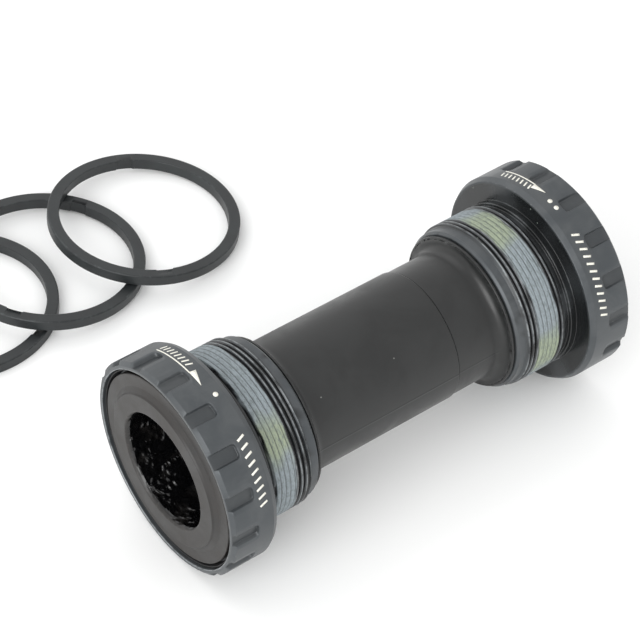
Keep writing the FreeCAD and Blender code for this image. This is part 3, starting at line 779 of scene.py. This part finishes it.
def o_ring(side):
    """An O-ring: a circle of points carried round the axis, flattened by a hundredth of a mm where
    the barrel presses it."""
    low, high = (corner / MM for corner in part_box(f"{side}_o_ring"))
    section = (high.x - low.x) / 2
    middle = high.z - section
    turn = even_angles(20)
    radius = np.minimum(middle + section * np.sin(turn), high.z - 0.01)
    profile = np.stack([(low.x + high.x) / 2 + section * np.cos(turn), radius], axis=1)
    piece = ring(f"{side}_o_ring_rubber", turned(profile, even_angles(192)[None, :]), rubber_finish)
    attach(piece, "sleeve")
    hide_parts(f"{side}_o_ring")


dust_lip = [
    (1.05, 20.1, 0.12),
    (1.25, 20.45, 0.15),
    (2.75, 20.45, 0.12),
    (2.75, 19.8, 0.12),
    (1.6, 20.0, 0.12),
]
grease_lip = [
    (9.5, 12.7, 0.12),
    (9.5, barrel_bore, 0.12),
    (11.0, barrel_bore, 0.12),
    (11.0, 13.6, 0.2),
    (10.2, 12.65, 0.1),
]
for side in SIDES:
    rubber_ring(f"{side}_dust_lip", side, dust_lip, cup_body[side], f"{side}_dust_seal")
    rubber_ring(f"{side}_grease_lip", side, grease_lip, cup_body[side], f"{side}_grease_seal")
    o_ring(side)

# %% [markdown]
# ## The sleeve
# The sleeve is two mouldings that plug together: a long tube from the left cup and a shorter,
# slightly thinner one from the right. Each ends in a collar with a soft fillet and a spigot with an
# O-ring groove. Two fine mould lines run along both tubes where the tool's halves met, so a few of
# their columns stand closer together and a few hundredths of a millimetre higher.

# %% The sleeve
line_angles = np.radians([86.0, 266.0])
line_half_width = 0.16
line_height = 0.045
long_radius, short_radius = 13.65, 13.4
sleeve_bore = 12.6
spigot_radius, groove_radius, collar_radius = 14.85, 13.75, 16.1
overlap, overlap_gap, overlap_bore = 8.0, 0.12, 13.1


def away_from_lines(angles):
    """The angle from each of these to the nearer mould line."""
    return np.minimum(*(np.abs((angles - line + np.pi) % (2 * np.pi) - np.pi) for line in line_angles))


def sleeve_columns():
    """Angles round the tube, evenly spread and closer at each mould line, with how high the line
    stands at each: 1 in its middle and 0 outside."""
    half = line_half_width / long_radius
    close = np.array([-1.6, -1.0, -0.6, -0.25, 0.25, 0.6, 1.0, 1.6]) * half
    even = even_angles(240)
    even = even[away_from_lines(even) > 2.2 * half]
    angles = np.sort(np.concatenate([even, *(line + close for line in line_angles)]))
    return angles, np.clip(1.25 - away_from_lines(angles) / half, 0, 1)


def tube_end(tube_radius):
    """Corners of the outside from the spigot's mouth to the tube: spigot, O-ring groove, collar."""
    return [
        (0.0, spigot_radius, 0.3),
        (1.4, spigot_radius, 0.1),
        (1.4, groove_radius, 0.15),
        (3.0, groove_radius, 0.15),
        (3.0, spigot_radius, 0.1),
        (5.3, spigot_radius, 0.15),
        (5.3, collar_radius, 0.2),
        (5.9, collar_radius, 0.25),
        (5.9, tube_radius, 2.1, 0.86),
    ]


def sleeve_piece(name, corners, place_along, node):
    """A tube of the sleeve; place_along turns the profile's v, counted from its spigot, into x."""
    profile = rounded_profile(corners, arc_points=7, support=0.2)
    profile = with_rows(profile, np.arange(10.0, 42.0, 1.0), 13.0, 14.0)
    angles, raised = sleeve_columns()
    outer = (profile[:, 1] > overlap_bore + 0.1) * (profile[:, 1] < collar_radius - 0.2)
    on_tube = np.clip((profile[:, 0] - 6.5) / 1.5, 0, 1) * outer
    lift = line_height * on_tube[:, None] * raised
    waves = 0.012 * wander(angles[None, :], 0.25 * profile[:, :1], 77, busiest=5)
    grid = turned(profile, angles[None, :], profile[:, 1:] + lift + waves * on_tube[:, None])
    grid[..., 0] = place_along(grid[..., 0])
    masks = {"edge": np.broadcast_to(edge_mask(profile)[:, None], grid.shape[:2])}
    piece = ring(name, grid, sleeve_finish, masks)
    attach(piece, "sleeve")
    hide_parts(node)


left_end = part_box("sleeve_long_tube")[0].x / MM
right_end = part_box("sleeve_short_tube")[1].x / MM
long_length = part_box("sleeve_long_tube")[1].x / MM - left_end
short_length = right_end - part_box("sleeve_short_tube")[0].x / MM
long_corners = [
    *tube_end(long_radius),
    (long_length, long_radius, 0.22),
    (long_length, overlap_bore + 0.04, 0.1),
    (long_length - overlap, overlap_bore + 0.04, 0.05),
    (long_length - overlap, sleeve_bore, 0.05),
    (0.0, sleeve_bore, 0.2),
]
short_corners = [
    *tube_end(short_radius),
    (short_length - overlap - overlap_gap, short_radius, 0.15),
    (short_length - overlap - overlap_gap, overlap_bore, 0.02),
    (short_length, overlap_bore, 0.2),
    (short_length, sleeve_bore, 0.1),
    (0.0, sleeve_bore, 0.2),
]
sleeve_piece("sleeve_long_shell", long_corners, lambda v: left_end + v, "sleeve_long_tube")
sleeve_piece("sleeve_short_shell", short_corners, lambda v: right_end - v, "sleeve_short_tube")

# %% [markdown]
# ## The shell spacers
# Three plastic rings take up the width between the flanges and the shell. Each is flat, with two
# shallow notches opposite one another in its bore and edges softened by a quarter of a millimetre.
# They lie in a cascade, so two of them lean, and their tilt is worked out from the CAD boxes.

# %% The shell spacers
spacer_bore, spacer_radius, spacer_thickness = 18.1, 20.6, 2.5
spacer_notch = {"half_width": 1.7, "depth": 0.4, "soft": 0.16}
notch_turn = {"low": 28.0, "middle": -54.0, "top": -21.0}


def spacer_columns():
    """Angles round a spacer, closer together at the walls of its two notches, and how deep the
    notch is at each, from 0 to 1."""
    wall = spacer_notch["half_width"] + spacer_notch["soft"] * np.array([-1.5, -0.5, 0.5, 1.5])
    near = np.concatenate([-wall[::-1], np.linspace(-0.8, 0.8, 5) * wall[0], wall]) / spacer_bore
    far = np.linspace(near[-1], np.pi - near[-1], 90)[1:-1]
    half = np.concatenate([near, far])
    angles = np.concatenate([half, half + np.pi])
    depth = np.concatenate([[0, 0.15, 0.85, 1], np.ones(5), [1, 0.85, 0.15, 0], np.zeros(88)])
    return angles, np.tile(depth, 2)


def shell_spacer(level):
    """A spacer: a profile turned about Z, its bore cut back at the notches, then leant about Y so
    that it fills its CAD box. The lean is asin(height / diagonal) - atan(thickness / diameter)."""
    low, high = (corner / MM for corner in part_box(f"shell_spacer_{level}"))
    half = spacer_thickness / 2
    profile = rounded_profile([
        (-half, spacer_bore, 0.22),
        (-half, spacer_radius, 0.3),
        (half, spacer_radius, 0.3),
        (half, spacer_bore, 0.22),
    ], arc_points=5)
    angles, depth = spacer_columns()
    bore_share = np.clip((spacer_bore + 0.35 - profile[:, 1:]) / 0.35, 0, 1)
    radius = profile[:, 1:] + spacer_notch["depth"] * depth * bore_share
    around = angles + np.radians(notch_turn[level] + 90)
    spread = np.broadcast_to(profile[:, :1], radius.shape)
    flat = np.stack([radius * np.cos(around), radius * np.sin(around), spread], axis=-1)
    flat[..., 2] += 0.02 * wander(around, 0.0, 60 + len(level), busiest=4) * (spread > 0)
    diagonal = np.hypot(2 * spacer_radius, spacer_thickness)
    lean = np.arcsin((high.z - low.z) / diagonal) - np.arctan2(spacer_thickness, 2 * spacer_radius)
    turned_flat = flat.copy()
    turned_flat[..., 0] = flat[..., 0] * np.cos(lean) + flat[..., 2] * np.sin(lean)
    turned_flat[..., 2] = flat[..., 2] * np.cos(lean) - flat[..., 0] * np.sin(lean)
    grid = turned_flat + np.array((low + high) / 2)
    edge = np.broadcast_to(edge_mask(profile)[:, None], grid.shape[:2])
    piece = ring(f"spacer_{level}_ring", grid, spacer_finish, {"edge": edge})
    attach(piece, f"spacer_{level}")
    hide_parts(f"shell_spacer_{level}")
    print(f"{level}: leans {np.degrees(lean):.2f} degrees")


for level in ("low", "middle", "top"):
    shell_spacer(level)

# %% [markdown]
# ## Print on the flanges
# A flange carries small pad-printed marks: an arrow that says which way to turn the cup, with bars
# and dots beside it. They say nothing in words. Each stroke is a thin film of ink with a closed
# section of four corners, its foot sunk into the flange and its face a hair above the surface.

# %% Print on the flanges
def stroke(path, half_width):
    """Ink along a path of (degrees from the top towards -Y, u). At each point the section is as
    wide as half_width says, across the path, and reaches from just inside the flange to its radius."""
    foot, face = flange_radius - 0.1, flange_radius
    path = np.asarray(path, float)
    arc = np.stack([np.radians(path[:, 0]) * flange_radius, path[:, 1]], axis=1)
    heading = np.gradient(arc, axis=0)
    heading /= np.hypot(*heading.T)[:, None]
    across = np.stack([-heading[:, 1], heading[:, 0]], axis=1) * np.asarray(half_width)[:, None]
    corners = np.stack([arc - across, arc - across, arc + across, arc + across], axis=1)
    angle, radius = corners[..., 0] / flange_radius, np.array([foot, face, face, foot])
    grid = np.stack([corners[..., 1], -radius * np.sin(angle), radius * np.cos(angle)], axis=-1)
    rows = len(path)
    ends = np.array([[0, 1, 2, 3], [4 * rows - 1, 4 * rows - 2, 4 * rows - 3, 4 * rows - 4]])
    quads = grid_quads(rows, 4, closed_rows=False)
    return grid, np.concatenate([quads, ends[:, ::-1]])


def straight(start, end, half_width, count):
    """A stroke of one width from one place to another."""
    return stroke(np.linspace(start, end, count), np.full(count, half_width))


def dot(angle, u, radius):
    """A round dot: a short path whose width follows a circle."""
    share = np.sin(np.linspace(-1, 1, 13) * np.pi / 2)
    path = np.stack([angle + np.degrees(share * radius / flange_radius), np.full(13, u)], axis=1)
    return stroke(path, np.maximum(radius * np.sqrt(1 - share**2), 0.02))


def arrow(tail, tip, u, head):
    """A line with a one-sided barbed head: wide at the barb, a point at the tip."""
    barb = tip - head
    strokes = [straight((tail, u), (barb + 0.5, u), 0.13, 21)]
    share = np.linspace(0, 1, 9)
    path = np.stack([barb + head * share, u + 0.62 * (1 - share)], axis=1)
    strokes.append(stroke(path, 0.03 + 0.66 * (1 - share)))
    return strokes


def bars(first, last, count, near, far, slant, half_width=0.17):
    """A row of short bars across the arrow's line, all leaning the same way."""
    return [
        straight((angle, near), (angle + slant, far), half_width, 5)
        for angle in np.linspace(first, last, count)
    ]


marks = {
    "left": [*arrow(-30.0, 8.0, 6.75, 9.5), *bars(-29.0, -7.0, 8, 7.3, 8.6, 1.4), dot(15.5, 7.9, 0.5),
             *bars(40.0, 75.0, 9, 6.8, 8.4, -1.6, 0.22)],
    "right": [*arrow(-30.0, 1.3, 6.5, 8.0), *bars(-29.0, -8.0, 8, 7.1, 8.4, 1.4), dot(7.0, 7.2, 0.5),
              dot(12.0, 7.2, 0.5), *bars(30.0, 75.0, 12, 6.6, 8.2, -1.6, 0.22)],
}
for side, strokes in marks.items():
    placed = [(on_side(grid, SIDES[side]), quads) for grid, quads in strokes]
    piece = build_piece(f"{side}_print", placed, print_finish)
    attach(piece, cup_body[side])

# %% [markdown]
# ## Pieces that stay as modelled
# The bearing's races, balls, cage and thin seals are plain turned shapes that the CAD model already
# has right, so they keep their meshes and only get a finish.

# %% Finishes for the bearings
kept = {
    "bearing_outer_race": race_finish,
    "bearing_inner_race": race_finish,
    "bearing_balls": ball_finish,
    "ball_cage": cage_finish,
    "bearing_outboard_seal": rubber_finish,
    "bearing_inboard_seal": rubber_finish,
}
for side in SIDES:
    for part, finish in kept.items():
        for slot in nodes[f"{side}_{part}"].material_slots:
            slot.material = finish
            print(f"{side}_{part}:", slot.material.name)

# %% [markdown]
# ## Floor
# The unit lies on a plain sheet of white paper, with a faint tooth and hardly any tone of its own.

# %% Floor
def paper():
    material, tree, shader = new_finish("white_paper", 0.8)
    spot = coordinates(tree)
    tone = mixed(tree, noise(tree, spot, 9.0), paint(246, 247, 247), paint(251, 251, 250))
    tree.links.new(tone, shader.inputs["Base Color"])
    relief(tree, shader, noise(tree, spot, 2500.0), 0.01)
    return material


def floor(half_side, material):
    """A flat sheet that the object lies on."""
    across, along = np.meshgrid([-half_side, half_side], [-half_side, half_side], indexing="ij")
    points = np.stack([across, along, np.full((2, 2), floor_height)], axis=-1).reshape(-1, 3)
    mesh = bpy.data.meshes.new("floor")
    mesh.from_pydata((points * MM).tolist(), [], [(0, 2, 3, 1)])
    mesh.materials.append(material)
    made = bpy.data.objects.new("floor", mesh)
    bpy.context.scene.collection.objects.link(made)


floor(3000.0, paper())
print("floor at", round(floor_height, 2), "mm")

# %% [markdown]
# ## Light
# The light is soft daylight. A large lamp behind and above gives the broad highlight along the
# tube, another from the left lights the face of the left cup, and a bright even surround keeps the
# paper white and the shadows faint.

# %% Light
def soft_light(name, place_mm, size_m, power):
    """A square area light at a place, turned to the middle of the unit."""
    lamp = bpy.data.lights.new(name, "AREA")
    lamp.size = size_m
    lamp.energy = power
    made = bpy.data.objects.new(name, lamp)
    made.location = Vector(place_mm) * MM
    made.rotation_euler = (-Vector(place_mm)).to_track_quat("-Z", "Y").to_euler()
    bpy.context.scene.collection.objects.link(made)


soft_light("window", (-150.0, 900.0, 800.0), 0.9, 1.8)
soft_light("fill", (-850.0, -350.0, 450.0), 0.7, 6.5)
world = bpy.data.worlds.new("surround")
world.use_nodes = True
world.node_tree.nodes["Background"].inputs["Color"].default_value = (1.0, 1.0, 1.0, 1.0)
world.node_tree.nodes["Background"].inputs["Strength"].default_value = 1.05
bpy.context.scene.world = world
bpy.context.scene.view_settings.view_transform = "Standard"
print("lights:", [light.name for light in bpy.data.lights])

# %% [markdown]
# ## Camera
# The camera looks down on the left cup's face through a long lens, so that the two cups look nearly
# the same size. Its axes are kept square to one another by taking each from the one before.

# %% Camera
forward = Vector((0.440, 0.545, -0.714)).normalized()
right = Vector((0.796, -0.604, 0.029))
right = (right - forward * right.dot(forward)).normalized()
up = right.cross(forward)
camera_data = bpy.data.cameras.new("camera")
camera_data.lens = 141.4
camera_data.clip_start, camera_data.clip_end = 0.01, 20.0
camera = bpy.data.objects.new("camera", camera_data)
camera.matrix_world = Matrix((
    (right.x, up.x, -forward.x, -0.2168),
    (right.y, up.y, -forward.y, -0.2531),
    (right.z, up.z, -forward.z, 0.3502),
    (0.0, 0.0, 0.0, 1.0),
))
bpy.context.scene.collection.objects.link(camera)
bpy.context.scene.camera = camera
print("camera at", [round(c, 3) for c in camera.location])
